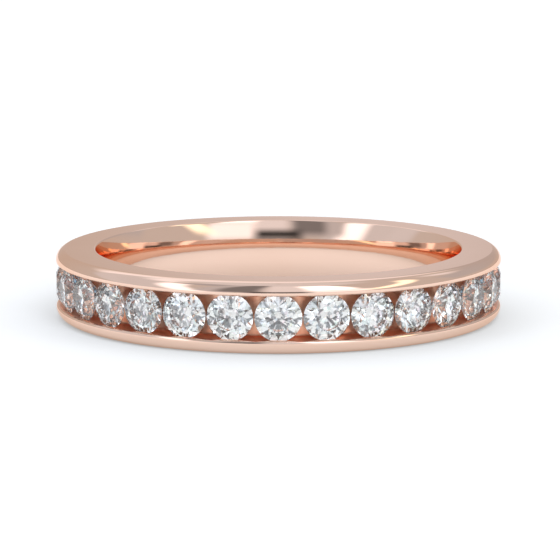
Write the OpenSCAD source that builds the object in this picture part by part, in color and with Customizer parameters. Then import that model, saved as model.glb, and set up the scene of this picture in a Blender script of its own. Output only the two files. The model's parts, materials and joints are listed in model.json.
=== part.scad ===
// Full eternity wedding band, channel set with round brilliant-cut diamonds.
// The finger passes along Z. The origin is the centre of the ring, and the first stone faces -Y.

/* [Ring] */
// Inside diameter at the middle of the band's width, which is the finger size
finger_d = 16.4; // [15:0.1:20]
// Radial thickness, from the bore to the crowns of the rails
band_thickness = 2; // [1.9:0.05:2.3]
// Width of the band along the finger
band_w = 3.1; // [3.05:0.05:3.25]
// Length of the straight stretch in the middle of the bore
bore_land = 0.2; // [0.1:0.05:0.6]
// Radius of the barrel curve that eases the bore open towards each side face
comfort_r = 5.4; // [4.4:0.2:12]
// Rounding of the bore's edge at each side face
bore_edge_r = 0.08; // [0.06:0.01:0.2]

/* [Rails] */
// Radius of the rounded shoulder between a side face and the crown of its rail
shoulder_r = 0.49; // [0.42:0.01:0.5]
// Angle at which the shoulder meets the side face
shoulder_lean = 10; // [4:1:20]

/* [Channel] */
// Width between the channel's two walls
channel_w = 1.9; // [1.86:0.01:1.94]
// Depth below the crowns of the rails
channel_depth = 1.1; // [1:0.05:1.15]
// Rounding between the channel's walls and its floor
channel_corner_r = 0.12; // [0.05:0.01:0.2]

/* [Stones] */
// Diameter of a stone
stone_d = 2.02; // [1.98:0.01:2.04]
// Thickness of the girdle, the stone's rim
girdle_t = 0.05; // [0.04:0.01:0.06]
// Height of the crown above the girdle
crown_h = 0.3; // [0.28:0.01:0.32]
// Depth of the pavilion below the girdle
pavilion_h = 0.86; // [0.82:0.01:0.88]
// Diameter of the table, corner to corner, as a share of the stone's
table_share = 0.54; // [0.52:0.01:0.6]
// Radius of the star facets' tips, as a share of the stone's
star_share = 0.74; // [0.72:0.005:0.78]
// Radius of the lower girdle facets' tips, as a share of the stone's
lower_share = 0.15; // [0.12:0.01:0.25]
// How far the tables lie below the crowns of the rails
table_drop = 0.015; // [0:0.005:0.03]
// Smallest gap between the girdles of two neighbours
stone_gap = 0.04; // [0.02:0.01:0.06]

/* [Seats] */
// Gap between a girdle and the notches that hold it
seat_gap = 0.01; // [0.006:0.001:0.015]
// Gap between a stone's point and the dimple below it
culet_gap = 0.04; // [0.03:0.01:0.08]

/* [Hidden] */
finger_r = finger_d / 2;
crown_r = finger_r + band_thickness;
side_z = band_w / 2;
wall_z = channel_w / 2;
floor_r = crown_r - channel_depth;
// Crown of a rail, where its shoulder runs parallel to the finger
crown_z = side_z - shoulder_r * cos(shoulder_lean);
// Each rail rolls over from its crown straight into the channel's wall
lip_edge_r = crown_z - wall_z;

stone_r = stone_d / 2;
girdle_r = crown_r - table_drop - crown_h - girdle_t / 2;
crown_slope = crown_h / (stone_r - stone_r * table_share);
// Mains, stars and tips repeat eight times around a stone
fold = 8;
half_step = 180 / fold;
// The facets of each side run on past the girdle, beyond the whole depth of the other side
facet_skirt = crown_h + pavilion_h;

// The row is as many stones as fit around the ring with the smallest gap
pitch_min = 2 * (atan(stone_r / girdle_r) + asin(stone_gap / 2 / norm([stone_r, girdle_r])));
stone_count = floor(360 / pitch_min);
pitch = 360 / stone_count;
first_stone = -90;

rose_gold = [0.88, 0.64, 0.54];
diamond_white = [0.9, 0.94, 0.97];
ring_fn = 240;
stone_fn = 64;
arc_steps = 8;

function stone_name(i) = str("diamond_", i < 10 ? "0" : "", i);

// Points of an arc in the plane, from angle a to angle b
function arc(centre, r, a, b, steps = arc_steps) =
    [for (i = [0 : steps]) centre + r * [cos(a + (b - a) * i / steps), sin(a + (b - a) * i / steps)]];

// Points around a circle of radius r at height z
function ring(r, z, n, turn = 0) =
    [for (i = [0 : n - 1]) [r * cos(turn + i * 360 / n), r * sin(turn + i * 360 / n), z]];

function mirrored(points) = [for (i = [len(points) - 1 : -1 : 0]) [points[i].x, -points[i].y]];

// Bore: a straight land, a barrel curve and a rounded edge, each tangent to the next
function bore_outline() =
    let (
        barrel = [finger_r + comfort_r, bore_land / 2],
        sweep = asin((side_z - bore_edge_r - bore_land / 2) / (comfort_r - bore_edge_r)),
        edge = barrel + (comfort_r - bore_edge_r) * [-cos(sweep), sin(sweep)]
    )
    concat(arc(barrel, comfort_r, 180, 180 - sweep), arc(edge, bore_edge_r, 180 - sweep, 90));

// Rail: the shoulder up to the crown, and the rounded lip down to the channel's wall
function rail_outline() =
    concat(
        arc([crown_r - shoulder_r, crown_z], shoulder_r, 90 - shoulder_lean, 0, 2 * arc_steps),
        arc([crown_r - lip_edge_r, crown_z], lip_edge_r, 0, -90)
    );

function channel_outline() =
    arc([floor_r + channel_corner_r, wall_z - channel_corner_r], channel_corner_r, 90, 180);

module band_blank() {
    half = concat(bore_outline(), rail_outline(), channel_outline());
    rotate_extrude($fn = ring_fn) polygon(concat(half, mirrored(half)));
}

// Puts a piece drawn with its girdle at the origin and its table up at place i in the row
module at_stone(i) {
    rotate([0, 0, first_stone + (i - 1) * pitch])
        translate([girdle_r, 0, 0])
        rotate([0, 90, 0])
        children();
}

// Cutter for one seat: a notch in each wall for the girdle, and a dimple in the floor for the point
module seat() {
    seat_r = stone_r + seat_gap;
    rim = (girdle_t + seat_gap) / 2;
    rotate_extrude($fn = stone_fn)
        polygon([
            [0, -girdle_t / 2 - pavilion_h - culet_gap],
            [seat_r, -rim],
            [seat_r, rim],
            [0, rim + seat_r * crown_slope]
        ]);
}

module band() {
    color(rose_gold)
        difference() {
            band_blank();
            for (i = [1 : stone_count]) at_stone(i) seat();
        }
}

// One side of a brilliant above z = 0: mains rise from the rim to a flat top of radius flat_r,
// and pairs of smaller facets rise from the rim to tips of radius tip_r midway between the mains
module facets(flat_r, height, tip_r) {
    main_slope = height / (stone_r - flat_r);
    tip_h = (stone_r - tip_r * cos(half_step)) * main_slope;
    rim_slope = tip_h / (stone_r - tip_r);
    corners = concat(
        ring(flat_r, height, fold),
        ring(tip_r, tip_h, fold, half_step),
        ring(stone_r, 0, fold),
        ring(stone_r + facet_skirt / rim_slope, -facet_skirt, 2 * fold)
    );
    hull() polyhedron(corners, [[for (i = [0 : len(corners) - 1]) i]]);
}

module brilliant() {
    intersection() {
        cylinder(r = stone_r, h = 2 * (crown_h + pavilion_h), center = true, $fn = stone_fn);
        translate([0, 0, girdle_t / 2]) facets(stone_r * table_share, crown_h, stone_r * star_share);
        translate([0, 0, -girdle_t / 2])
            mirror([0, 0, 1])
            facets(0, pavilion_h, stone_r * lower_share);
    }
}

module diamond(i) {
    color(diamond_white) at_stone(i) brilliant();
}

band();
for (i = [1 : stone_count]) diamond(i);
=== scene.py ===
import json
import math

import bpy
from mathutils import Matrix, Vector


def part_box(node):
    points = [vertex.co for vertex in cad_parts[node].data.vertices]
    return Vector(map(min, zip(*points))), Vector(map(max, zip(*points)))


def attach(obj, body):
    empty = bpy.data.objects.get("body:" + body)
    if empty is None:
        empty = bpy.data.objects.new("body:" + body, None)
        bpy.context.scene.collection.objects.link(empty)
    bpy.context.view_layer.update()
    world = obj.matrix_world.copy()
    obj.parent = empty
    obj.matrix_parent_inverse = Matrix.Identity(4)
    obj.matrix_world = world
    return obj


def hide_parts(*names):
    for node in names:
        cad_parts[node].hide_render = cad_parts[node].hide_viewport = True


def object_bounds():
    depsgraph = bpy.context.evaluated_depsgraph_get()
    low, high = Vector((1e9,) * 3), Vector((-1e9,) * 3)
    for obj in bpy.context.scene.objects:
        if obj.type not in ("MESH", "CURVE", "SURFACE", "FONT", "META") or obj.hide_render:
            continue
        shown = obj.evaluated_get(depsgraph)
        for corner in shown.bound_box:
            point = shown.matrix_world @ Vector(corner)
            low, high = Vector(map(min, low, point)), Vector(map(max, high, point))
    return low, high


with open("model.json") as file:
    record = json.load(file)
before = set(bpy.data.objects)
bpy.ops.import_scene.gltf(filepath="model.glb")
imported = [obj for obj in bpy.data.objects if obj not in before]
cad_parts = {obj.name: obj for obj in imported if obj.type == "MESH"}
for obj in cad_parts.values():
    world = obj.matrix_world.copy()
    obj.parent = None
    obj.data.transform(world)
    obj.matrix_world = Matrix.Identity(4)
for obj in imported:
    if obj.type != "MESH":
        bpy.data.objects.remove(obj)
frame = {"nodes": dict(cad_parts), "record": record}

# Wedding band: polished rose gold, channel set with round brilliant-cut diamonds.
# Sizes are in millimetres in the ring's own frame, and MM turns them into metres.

cad_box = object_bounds()
record = frame["record"]
MM = 0.001


def mount(name):
    return next(m for m in record["mounts"] if m["name"] == name)


# ---- sizes -----------------------------------------------------------------

# Ring, from the frame
CROWN_R = cad_box[1].x / MM
SIDE_Z = cad_box[1].z / MM
FINGER_R = mount("finger_bore")["dims"]["r_mm"]
BORE_LAND = mount("finger_bore")["dims"]["length_mm"]

# Ring, as designed
COMFORT_R = 5.4
BORE_EDGE_R = 0.08
SHOULDER_R = 0.49
SHOULDER_LEAN = math.radians(10)
CROWN_Z = SIDE_Z - SHOULDER_R * math.cos(SHOULDER_LEAN)
CHANNEL_W = 1.9
LIP_EDGE_R = CROWN_Z - CHANNEL_W / 2
CHANNEL_DEPTH = 1.1
CHANNEL_CORNER_R = 0.12

# Stones: the first one faces -Y, with its table at the lowest y of its box
stone_low, stone_high = (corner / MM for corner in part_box("diamond_01"))
STONE_NAMES = sorted(n for n in frame["nodes"] if n.startswith("diamond_"))
STONE_COUNT = len(STONE_NAMES)
STONE_R = (stone_high.z - stone_low.z) / 2
TABLE_AT = -stone_low.y
CULET_AT = -stone_high.y
GIRDLE_T = 0.05
CROWN_H = 0.3
PAVILION_H = TABLE_AT - CULET_AT - GIRDLE_T - CROWN_H
GIRDLE_AT = TABLE_AT - CROWN_H - GIRDLE_T / 2
TABLE_SHARE = 0.54
STAR_SHARE = 0.74
LOWER_SHARE = 0.15
FOLD = 8
HALF_STEP = math.pi / FOLD

# Seats
SEAT_GAP = 0.01
CULET_GAP = 0.04

# Fineness of the meshes
RING_STEPS = 360
SEAT_STEPS = 64
GIRDLE_STEPS = 6
CREASE = math.radians(8)
# Share of the channel floor's radius that is still below the deepest dimple
FLOOR_MARGIN = 0.95

# Fineness of the surface patterns, in features to the metre
GOLD_CLOUDS = 220.0
BUFF_LINES = 2600.0
CHANNEL_GRAIN = 1800.0
# Size of the cells of painted dark scintillation and painted fire on the diamonds
PAINTED_SPARKLE_CELLS = 9000.0
GIRDLE_FROST = 9000.0
PAPER_FIBRES = 400.0


# ---- mesh helpers ----------------------------------------------------------


def arc(centre, r, a, b, steps):
    """Points of an arc in the plane, from angle a to angle b."""
    turns = [a + (b - a) * i / steps for i in range(steps + 1)]
    return [(centre[0] + r * math.cos(t), centre[1] + r * math.sin(t)) for t in turns]


def new_object(name, points, faces):
    """An object from points in millimetres."""
    mesh = bpy.data.meshes.new(name)
    mesh.from_pydata([Vector(p) * MM for p in points], [], faces)
    mesh.validate()
    piece = bpy.data.objects.new(name, mesh)
    bpy.context.scene.collection.objects.link(piece)
    return piece


def lathe(outline, steps):
    """Points and faces of a closed (r, z) outline turned around Z."""
    count = len(outline)
    points = []
    for i in range(steps):
        turn = 2 * math.pi * i / steps
        points += [(r * math.cos(turn), r * math.sin(turn), z) for r, z in outline]
    faces = []
    for i in range(steps):
        here = i * count
        there = (i + 1) % steps * count
        for k in range(count):
            after = (k + 1) % count
            faces.append((here + k, there + k, there + after, here + after))
    return points, faces


def applied(piece):
    """Puts the result of the piece's modifiers into its mesh."""
    bpy.context.view_layer.update()
    depsgraph = bpy.context.evaluated_depsgraph_get()
    done = bpy.data.meshes.new_from_object(piece.evaluated_get(depsgraph))
    piece.modifiers.clear()
    piece.data = done


# ---- materials -------------------------------------------------------------


def new_material(name):
    """A node material: it, its Principled shader, and a function that adds a node with the given inputs."""
    material = bpy.data.materials.new(name)
    material.use_nodes = True
    tree = material.node_tree
    shader = tree.nodes["Principled BSDF"]

    def add(kind, **inputs):
        node = tree.nodes.new(kind)
        join(node, **inputs)
        return node

    def join(node, **inputs):
        for key, value in inputs.items():
            socket = node.inputs[key.replace("_", " ")]
            if isinstance(value, bpy.types.NodeSocket):
                tree.links.new(value, socket)
            else:
                socket.default_value = value

    return material, shader, add, join


def ramp(add, value, stops):
    """The colours of stops, which are (position, colour) pairs, picked by value."""
    node = add("ShaderNodeValToRGB", Fac=value)
    elements = node.color_ramp.elements
    while len(elements) < len(stops):
        elements.new(1.0)
    for element, (position, colour) in zip(elements, stops):
        element.position = position
        element.color = colour
    return node.outputs["Color"]


def grey(value):
    return (value, value, value, 1)


ROSE_GOLD_LIGHT = (0.945, 0.672, 0.540, 1)
ROSE_GOLD_DEEP = (0.925, 0.648, 0.514, 1)
ROSE_GOLD_EDGE = (0.97, 0.80, 0.70, 1)
# Painted shade: the channel metal is coloured redder and deeper than the outside, as light bouncing in the
# closed channel makes it look; a grain picks between the two tones
CHANNEL_PAINTED_SHADE_PALE = (1.0, 0.55, 0.37, 1)
CHANNEL_PAINTED_SHADE_DEEP = (0.96, 0.45, 0.28, 1)


def rose_gold():
    """Hand-polished alloy: faint clouds of colour, and hairlines from the buff that soften the gloss."""
    material, shader, add, join = new_material("rose_gold_polished")
    place = add("ShaderNodeTexCoord").outputs["Object"]
    clouds = add("ShaderNodeTexNoise", Vector=place, Scale=GOLD_CLOUDS, Detail=3.0).outputs["Fac"]
    colour = ramp(add, clouds, [(0.35, ROSE_GOLD_LIGHT), (0.65, ROSE_GOLD_DEEP)])
    stretched = add("ShaderNodeMapping", Vector=place, Scale=(1.0, 1.0, 9.0)).outputs["Vector"]
    hairlines = add("ShaderNodeTexNoise", Vector=stretched, Scale=BUFF_LINES, Detail=4.0).outputs["Fac"]
    gloss = ramp(add, hairlines, [(0.35, grey(0.035)), (0.75, grey(0.075))])
    bump = add("ShaderNodeBump", Height=hairlines, Strength=0.02, Distance=0.00001)
    join(shader, Base_Color=colour, Roughness=gloss, Normal=bump.outputs["Normal"])
    shader.inputs["Metallic"].default_value = 1.0
    shader.inputs["Specular Tint"].default_value = ROSE_GOLD_EDGE
    return material


def channel_gold():
    """The bright-cut but unpolished metal under the stones: duller than the outside, and redder and deeper as
    painted shade of the closed channel.
    """
    material, shader, add, join = new_material("rose_gold_channel")
    place = add("ShaderNodeTexCoord").outputs["Object"]
    grain = add("ShaderNodeTexNoise", Vector=place, Scale=CHANNEL_GRAIN, Detail=3.0).outputs["Fac"]
    join(
        shader,
        Base_Color=ramp(add, grain, [(0.35, CHANNEL_PAINTED_SHADE_PALE), (0.65, CHANNEL_PAINTED_SHADE_DEEP)]),
        Roughness=ramp(add, grain, [(0.3, grey(0.30)), (0.7, grey(0.42))]),
    )
    shader.inputs["Metallic"].default_value = 1.0
    return material


# Diamond bends light by 2.42; a little more keeps some of the gold below from showing through
DIAMOND_IOR = 2.6
# Share of the gloss that the polished facets keep, so that the painted dark scintillation stays dark
FACET_GLOSS = 0.65

# Painted light in the stones: pale painted fire and grey painted shade on light going in, and painted dark
# scintillation and painted fire on light coming out
# Painted fire and painted shade: each crown facet gets a pale colour or a grey at random
PAINTED_FIRE_AND_SHADE_TINTS = [
    (0.00, (0.80, 0.83, 0.85, 1)),
    (0.35, (0.95, 0.94, 0.92, 1)),
    (0.70, (0.86, 0.95, 0.88, 1)),
    (1.00, (1.00, 0.92, 0.91, 1)),
]
# Painted dark scintillation and painted fire, one tone per small cell
PAINTED_SPARKLE_TINTS = [
    (0.00, (0.04, 0.04, 0.05, 1)),
    (0.24, (0.20, 0.21, 0.22, 1)),
    (0.30, (0.62, 0.78, 0.92, 1)),
    (0.40, (0.92, 0.92, 0.90, 1)),
    (0.66, (1.00, 0.98, 0.95, 1)),
    (0.78, (0.70, 0.96, 0.80, 1)),
    (0.84, (1.00, 0.98, 0.94, 1)),
    (0.92, (1.00, 0.76, 0.86, 1)),
    (1.00, (1.00, 0.94, 0.70, 1)),
]
# Painted shade: the table is greyed to dim the stone
TABLE_PAINTED_SHADE_TINTS = [(0.0, (0.82, 0.82, 0.80, 1)), (1.0, (0.94, 0.93, 0.90, 1))]
# Bluish, to make the warm metal seen through a stone greyer
PAVILION_TINTS = [(0.0, (0.24, 0.44, 0.63, 1)), (1.0, (0.48, 0.80, 1.0, 1))]


def polished_diamond(name, way_in, way_out):
    """Polished diamond with painted light: its facets tint light going in, and small cells paint dark
    scintillation and fire onto light coming out.
    """
    material, shader, add, join = new_material(name)
    surface = add("ShaderNodeNewGeometry").outputs
    pick = add("ShaderNodeTexWhiteNoise", Vector=surface["True Normal"]).outputs["Value"]
    place = add("ShaderNodeTexCoord").outputs["Object"]
    cells = add("ShaderNodeTexVoronoi", Vector=place, Scale=PAINTED_SPARKLE_CELLS).outputs["Color"]
    # Painted dark scintillation and painted fire, one tone per small cell
    painted_sparkle = add("ShaderNodeTexWhiteNoise", Vector=cells).outputs["Value"]
    tint = add(
        "ShaderNodeMixRGB",
        Fac=surface["Backfacing"],
        Color1=ramp(add, pick, way_in),
        Color2=ramp(add, painted_sparkle, way_out),
    )
    join(shader, Base_Color=tint.outputs["Color"])
    shader.inputs["Roughness"].default_value = 0.0
    shader.inputs["Specular Tint"].default_value = grey(FACET_GLOSS)
    shader.inputs["IOR"].default_value = DIAMOND_IOR
    shader.inputs["Transmission Weight"].default_value = 1.0
    return material


def diamond_girdle():
    """The stone's rim, ground to a fine frost and not polished."""
    material, shader, add, join = new_material("diamond_girdle")
    place = add("ShaderNodeTexCoord").outputs["Object"]
    frost = add("ShaderNodeTexNoise", Vector=place, Scale=GIRDLE_FROST, Detail=2.0).outputs["Fac"]
    join(
        shader,
        Base_Color=ramp(add, frost, [(0.3, grey(0.93)), (0.7, grey(0.99))]),
        Roughness=ramp(add, frost, [(0.3, grey(0.25)), (0.7, grey(0.4))]),
    )
    shader.inputs["IOR"].default_value = DIAMOND_IOR
    shader.inputs["Transmission Weight"].default_value = 1.0
    return material


# ---- band ------------------------------------------------------------------


def bore_outline():
    """The straight land, the barrel curve and the rounded edge, each tangent to the next."""
    barrel = (FINGER_R + COMFORT_R, BORE_LAND / 2)
    sweep = math.asin((SIDE_Z - BORE_EDGE_R - BORE_LAND / 2) / (COMFORT_R - BORE_EDGE_R))
    reach = COMFORT_R - BORE_EDGE_R
    edge = (barrel[0] - reach * math.cos(sweep), barrel[1] + reach * math.sin(sweep))
    return arc(barrel, COMFORT_R, math.pi, math.pi - sweep, 8) + arc(
        edge, BORE_EDGE_R, math.pi - sweep, math.pi / 2, 16
    )


def rail_outline():
    """The shoulder up to the crown, and the rounded lip down to the channel's wall."""
    shoulder = (CROWN_R - SHOULDER_R, CROWN_Z)
    lip = (CROWN_R - LIP_EDGE_R, CROWN_Z)
    return (
        arc(shoulder, SHOULDER_R, math.pi / 2 - SHOULDER_LEAN, 0, 28)
        + arc(lip, LIP_EDGE_R, 0, -math.pi / 2, 16)[1:]
    )


def channel_outline():
    corner = (CROWN_R - CHANNEL_DEPTH + CHANNEL_CORNER_R, CHANNEL_W / 2 - CHANNEL_CORNER_R)
    return arc(corner, CHANNEL_CORNER_R, math.pi / 2, math.pi, 12)


def stone_place(i):
    """From a stone's own frame, girdle at the origin and table up, to place i in the row."""
    turn = -math.pi / 2 + 2 * math.pi * i / STONE_COUNT
    return (
        Matrix.Rotation(turn, 4, "Z")
        @ Matrix.Translation((GIRDLE_AT, 0, 0))
        @ Matrix.Rotation(math.pi / 2, 4, "Y")
    )


def seat_cutters():
    """All the seats as one object: notches for the girdles and dimples for the points."""
    seat_r = STONE_R + SEAT_GAP
    rim = (GIRDLE_T + SEAT_GAP) / 2
    crown_slope = CROWN_H / (STONE_R * (1 - TABLE_SHARE))
    tip = -GIRDLE_T / 2 - PAVILION_H - CULET_GAP
    top = rim + seat_r * crown_slope
    rings = [(seat_r, -rim), (seat_r, rim)]
    points, faces = [], []
    for i in range(STONE_COUNT):
        place = stone_place(i)
        base = len(points)
        for r, z in rings:
            for k in range(SEAT_STEPS):
                turn = 2 * math.pi * k / SEAT_STEPS
                points.append(place @ Vector((r * math.cos(turn), r * math.sin(turn), z)))
        points += [place @ Vector((0, 0, tip)), place @ Vector((0, 0, top))]
        low, high = base + 2 * SEAT_STEPS, base + 2 * SEAT_STEPS + 1
        for k in range(SEAT_STEPS):
            after = (k + 1) % SEAT_STEPS
            a, b = base + k, base + after
            faces += [(b, a, low), (a, b, b + SEAT_STEPS, a + SEAT_STEPS)]
            faces.append((a + SEAT_STEPS, b + SEAT_STEPS, high))
    return new_object("seat_cutters", points, faces)


def in_channel(point):
    """Whether a point of the band's surface lies below the lips, on the channel's walls, floor or seats."""
    r = math.hypot(point.x, point.y)
    floor_r = CROWN_R - CHANNEL_DEPTH
    return FLOOR_MARGIN * floor_r < r < CROWN_R - LIP_EDGE_R and abs(point.z) < STONE_R + SEAT_GAP


def make_band():
    half = bore_outline() + rail_outline() + channel_outline()
    outline = half + [(r, -z) for r, z in reversed(half)]
    points, faces = lathe(outline, RING_STEPS)
    band = new_object("band_polished", points, faces)
    cutters = seat_cutters()
    cut = band.modifiers.new("seats", "BOOLEAN")
    cut.operation = "DIFFERENCE"
    cut.solver = "EXACT"
    cut.object = cutters
    applied(band)
    bpy.data.objects.remove(cutters)
    band.data.shade_smooth()
    band.data.set_sharp_from_angle(angle=CREASE)
    even = band.modifiers.new("even_shading", "WEIGHTED_NORMAL")
    even.keep_sharp = True
    applied(band)
    band.data.materials.clear()
    band.data.materials.append(rose_gold())
    band.data.materials.append(channel_gold())
    for polygon in band.data.polygons:
        polygon.material_index = 1 if in_channel(polygon.center / MM) else 0
    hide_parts("band")
    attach(band, "root")


# ---- stones ----------------------------------------------------------------


def stone_side(flat_r, height, tip_r, base_z, up):
    """One side of a brilliant. Returns its points and faces, and the points of its rim in order."""
    points, faces, rim = [], [], []

    def put(r, turn, z):
        points.append((r * math.cos(turn), r * math.sin(turn), base_z + up * z))
        return len(points) - 1

    main_slope = height / (STONE_R - flat_r)
    tip_h = (STONE_R - tip_r * math.cos(HALF_STEP)) * main_slope
    rim_slope = tip_h / (STONE_R - tip_r)
    eighths = [2 * HALF_STEP * k for k in range(FOLD)]
    tips = [put(tip_r, turn + HALF_STEP, tip_h) for turn in eighths]
    if flat_r > 0:
        corners = [put(flat_r, turn, height) for turn in eighths]
        faces.append(tuple(corners))
    else:
        corners = [put(0, 0, height)] * FOLD
    for k in range(2 * FOLD):
        middle = (k + 0.5) * HALF_STEP
        for step in range(GIRDLE_STEPS):
            turn = (k + step / GIRDLE_STEPS) * HALF_STEP
            bulge = math.cos(turn - middle) / math.cos(HALF_STEP / 2) - 1
            rim.append(put(STONE_R, turn, -rim_slope * STONE_R * bulge))
    for k in range(FOLD):
        after = (k + 1) % FOLD
        start = 2 * k * GIRDLE_STEPS
        faces.append((corners[k], tips[k - 1], rim[start], tips[k]))
        if flat_r > 0:
            faces.append((corners[k], tips[k], corners[after]))
        for half in range(2):
            first = start + half * GIRDLE_STEPS
            run = [rim[(first + j) % len(rim)] for j in range(GIRDLE_STEPS + 1)]
            faces.append((tips[k], *run))
    if up < 0:
        faces = [tuple(reversed(face)) for face in faces]
    return points, faces, rim


# Material slots of a stone; its table is the first of the crown's faces
CROWN, TABLE, GIRDLE, PAVILION = range(4)


def stone_mesh(materials):
    crown = stone_side(STONE_R * TABLE_SHARE, CROWN_H, STONE_R * STAR_SHARE, GIRDLE_T / 2, 1)
    pavilion = stone_side(0, PAVILION_H, STONE_R * LOWER_SHARE, -GIRDLE_T / 2, -1)
    shift = len(crown[0])
    points = crown[0] + pavilion[0]
    facets = crown[1] + [tuple(v + shift for v in face) for face in pavilion[1]]
    upper = crown[2]
    lower = [v + shift for v in pavilion[2]]
    girdle = []
    for k in range(len(upper)):
        after = (k + 1) % len(upper)
        girdle.append((lower[k], lower[after], upper[after], upper[k]))
    mesh = bpy.data.meshes.new("brilliant")
    mesh.from_pydata([Vector(p) * MM for p in points], [], facets + girdle)
    mesh.shade_flat()
    for material in materials:
        mesh.materials.append(material)
    for polygon in mesh.polygons:
        if polygon.index >= len(facets):
            polygon.material_index = GIRDLE
            polygon.use_smooth = True
        elif polygon.index >= len(crown[1]):
            polygon.material_index = PAVILION
        else:
            polygon.material_index = TABLE if polygon.index == 0 else CROWN
    mesh.set_sharp_from_angle(angle=CREASE)
    return mesh


def make_stones():
    mesh = stone_mesh(
        [
            polished_diamond("diamond_crown", PAINTED_FIRE_AND_SHADE_TINTS, PAINTED_SPARKLE_TINTS),
            polished_diamond("diamond_table", TABLE_PAINTED_SHADE_TINTS, TABLE_PAINTED_SHADE_TINTS),
            diamond_girdle(),
            polished_diamond("diamond_pavilion", PAVILION_TINTS, PAVILION_TINTS),
        ]
    )
    for i, name in enumerate(STONE_NAMES):
        stone = bpy.data.objects.new(name + "_brilliant", mesh)
        bpy.context.scene.collection.objects.link(stone)
        place = stone_place(i)
        stone.matrix_world = Matrix.LocRotScale(place.to_translation() * MM, place.to_quaternion(), None)
        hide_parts(name)
        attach(stone, "root")


# ---- studio ----------------------------------------------------------------


PAPER_GLOW = (1.0, 0.98, 0.96, 1)
PAPER_GLOW_STRENGTH = 0.4


def paper():
    """Matt white paper for the table, lit softly from below as well."""
    material, shader, add, join = new_material("paper_white")
    place = add("ShaderNodeTexCoord").outputs["Object"]
    fibres = add("ShaderNodeTexNoise", Vector=place, Scale=PAPER_FIBRES, Detail=3.0).outputs["Fac"]
    join(shader, Base_Color=ramp(add, fibres, [(0.3, grey(0.79)), (0.7, grey(0.81))]))
    shader.inputs["Roughness"].default_value = 0.9
    shader.inputs["Specular IOR Level"].default_value = 0.0
    shader.inputs["Emission Color"].default_value = PAPER_GLOW
    shader.inputs["Emission Strength"].default_value = PAPER_GLOW_STRENGTH
    return material


# Half the floor's width, and the gap between it and the ring's side face
FLOOR_REACH = 3000.0
FLOOR_GAP = 0.002


def make_floor():
    z = -SIDE_Z - FLOOR_GAP
    signs = [(-1, -1), (1, -1), (1, 1), (-1, 1)]
    corners = [(x * FLOOR_REACH, y * FLOOR_REACH, z) for x, y in signs]
    floor = new_object("floor", corners, [(0, 1, 2, 3)])
    floor.data.materials.append(paper())


def direction(azimuth, elevation):
    """Unit vector by azimuth and elevation. Azimuth 0 is the camera's side, and positive is to its right."""
    a, e = math.radians(azimuth), math.radians(elevation)
    return Vector((math.sin(a) * math.cos(e), -math.cos(a) * math.cos(e), math.sin(e)))


# Brightness of the studio's grey walls
WALLS = 0.60
# How far a panel's soft edge reaches to each side of its outline, in degrees
PANEL_EDGE = 5.0
COOL = (1.0, 1.07, 1.17)
WARM = (1.0, 0.99, 0.82)
PANELS = [
    # azimuth, elevation, half width, half height, lean, brightness, tint: later ones hang in front
    (0, 90, 180, 22, 0, 0.74, COOL),
    (140, 22, 40, 14, 0, 0.52, COOL),
    (-140, 50, 50, 14, 0, 1.10, COOL),
    (180, 48, 24, 14, 0, 1.00, COOL),
    (-84, 26, 34, 28, -1.0, 0.68, COOL),
    (-106, 28, 8, 24, -1.0, 0.70, COOL),
    (-57, 24, 9, 30, -0.5, 1.60, COOL),
    (-50, 64, 32, 8, 0, 0.45, COOL),
    (-26, 40, 18, 34, 0, 0.56, COOL),
    (-21, 42, 11, 34, 0, 0.22, COOL),
    (5, 32, 12, 40, 0, 0.86, COOL),
    (29, 44, 13, 23, 0, 2.10, COOL),
    (32, 12, 16, 9, 0, 1.30, COOL),
    (73, 32, 7, 22, 1.08, 1.80, WARM),
    (130, 43, 10, 6, 0, 0.90, COOL),
    (0, -1, 16, 5, 0, 0.05, COOL),
    (0, 8, 15, 3.5, 0, 0.05, COOL),
    (178, 10, 3, 9, 0, 0.72, COOL),
]


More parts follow.
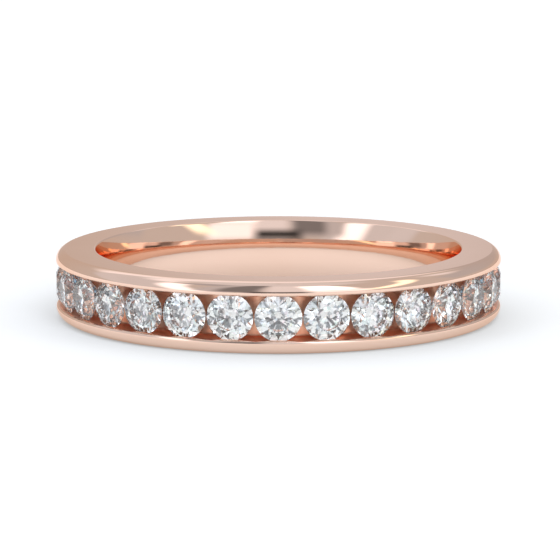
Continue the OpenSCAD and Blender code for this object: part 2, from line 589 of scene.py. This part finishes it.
def make_room():
    """The studio around the ring, as soft-edged panels on grey walls, by azimuth and elevation in degrees."""
    world = bpy.data.worlds.new("studio")
    bpy.context.scene.world = world
    world.use_nodes = True
    tree = world.node_tree

    def put(kind, operation, *inputs):
        node = tree.nodes.new(kind)
        node.operation = operation
        for socket, value in zip(node.inputs, inputs):
            if isinstance(value, bpy.types.NodeSocket):
                tree.links.new(value, socket)
            else:
                socket.default_value = value
        return node.outputs[0]

    def number(operation, *inputs):
        return put("ShaderNodeMath", operation, *inputs)

    def colour(operation, *inputs):
        return put("ShaderNodeVectorMath", operation, *inputs)

    def within(distance, half):
        node = tree.nodes.new("ShaderNodeMapRange")
        node.interpolation_type = "SMOOTHSTEP"
        tree.links.new(distance, node.inputs["Value"])
        node.inputs["From Min"].default_value = half + PANEL_EDGE
        node.inputs["From Max"].default_value = half - PANEL_EDGE if half > PANEL_EDGE else 0.0
        return node.outputs["Result"]

    split = tree.nodes.new("ShaderNodeSeparateXYZ")
    tree.links.new(tree.nodes.new("ShaderNodeTexCoord").outputs["Generated"], split.inputs["Vector"])
    x, y, z = split.outputs
    azimuth = number("DEGREES", number("ARCTAN2", x, number("MULTIPLY", y, -1.0)))
    elevation = number("DEGREES", number("ARCSINE", z))
    light = (WALLS, WALLS, WALLS)
    for at_azimuth, at_elevation, half_width, half_height, lean, brightness, tint in PANELS:
        rise = number("SUBTRACT", elevation, at_elevation)
        middle = number("MULTIPLY_ADD", rise, lean, at_azimuth)
        aside = number("PINGPONG", number("SUBTRACT", azimuth, middle), 180.0)
        above = number("ABSOLUTE", rise)
        mask = number("MULTIPLY", within(aside, half_width), within(above, half_height))
        panel = tuple(brightness * channel for channel in tint)
        light = colour("MULTIPLY_ADD", colour("SUBTRACT", panel, light), mask, light)
    tree.links.new(light, tree.nodes["Background"].inputs["Color"])


# Camera, in outer radii of the ring: how far, how high, and where it points
CAMERA_AWAY = 11.27
CAMERA_ELEVATION = 9.54
CAMERA_SIDE = 0.0068
CAMERA_AIM_Z = -0.003
CAMERA_LENS = 160.5
SENSOR = 36.0


def make_camera():
    radius = CROWN_R * MM
    aim = Vector((CAMERA_SIDE, 0, CAMERA_AIM_Z)) * radius
    towards = direction(0, CAMERA_ELEVATION)
    data = bpy.data.cameras.new("camera")
    data.lens = CAMERA_LENS
    data.sensor_width = SENSOR
    data.clip_start = 0.001
    data.clip_end = 20
    camera = bpy.data.objects.new("camera", data)
    bpy.context.scene.collection.objects.link(camera)
    camera.location = aim + towards * CAMERA_AWAY * radius
    camera.rotation_euler = towards.to_track_quat("Z", "Y").to_euler()
    bpy.context.scene.camera = camera


def set_light_paths():
    scene = bpy.context.scene
    scene.view_settings.view_transform = "Standard"
    cycles = scene.cycles
    cycles.max_bounces = 32
    cycles.glossy_bounces = 16
    cycles.transmission_bounces = 28
    cycles.blur_glossy = 0.0
    cycles.caustics_reflective = False
    cycles.caustics_refractive = False
    cycles.sample_clamp_indirect = 6.0


make_band()
make_stones()
make_floor()
make_room()
make_camera()
set_light_paths()
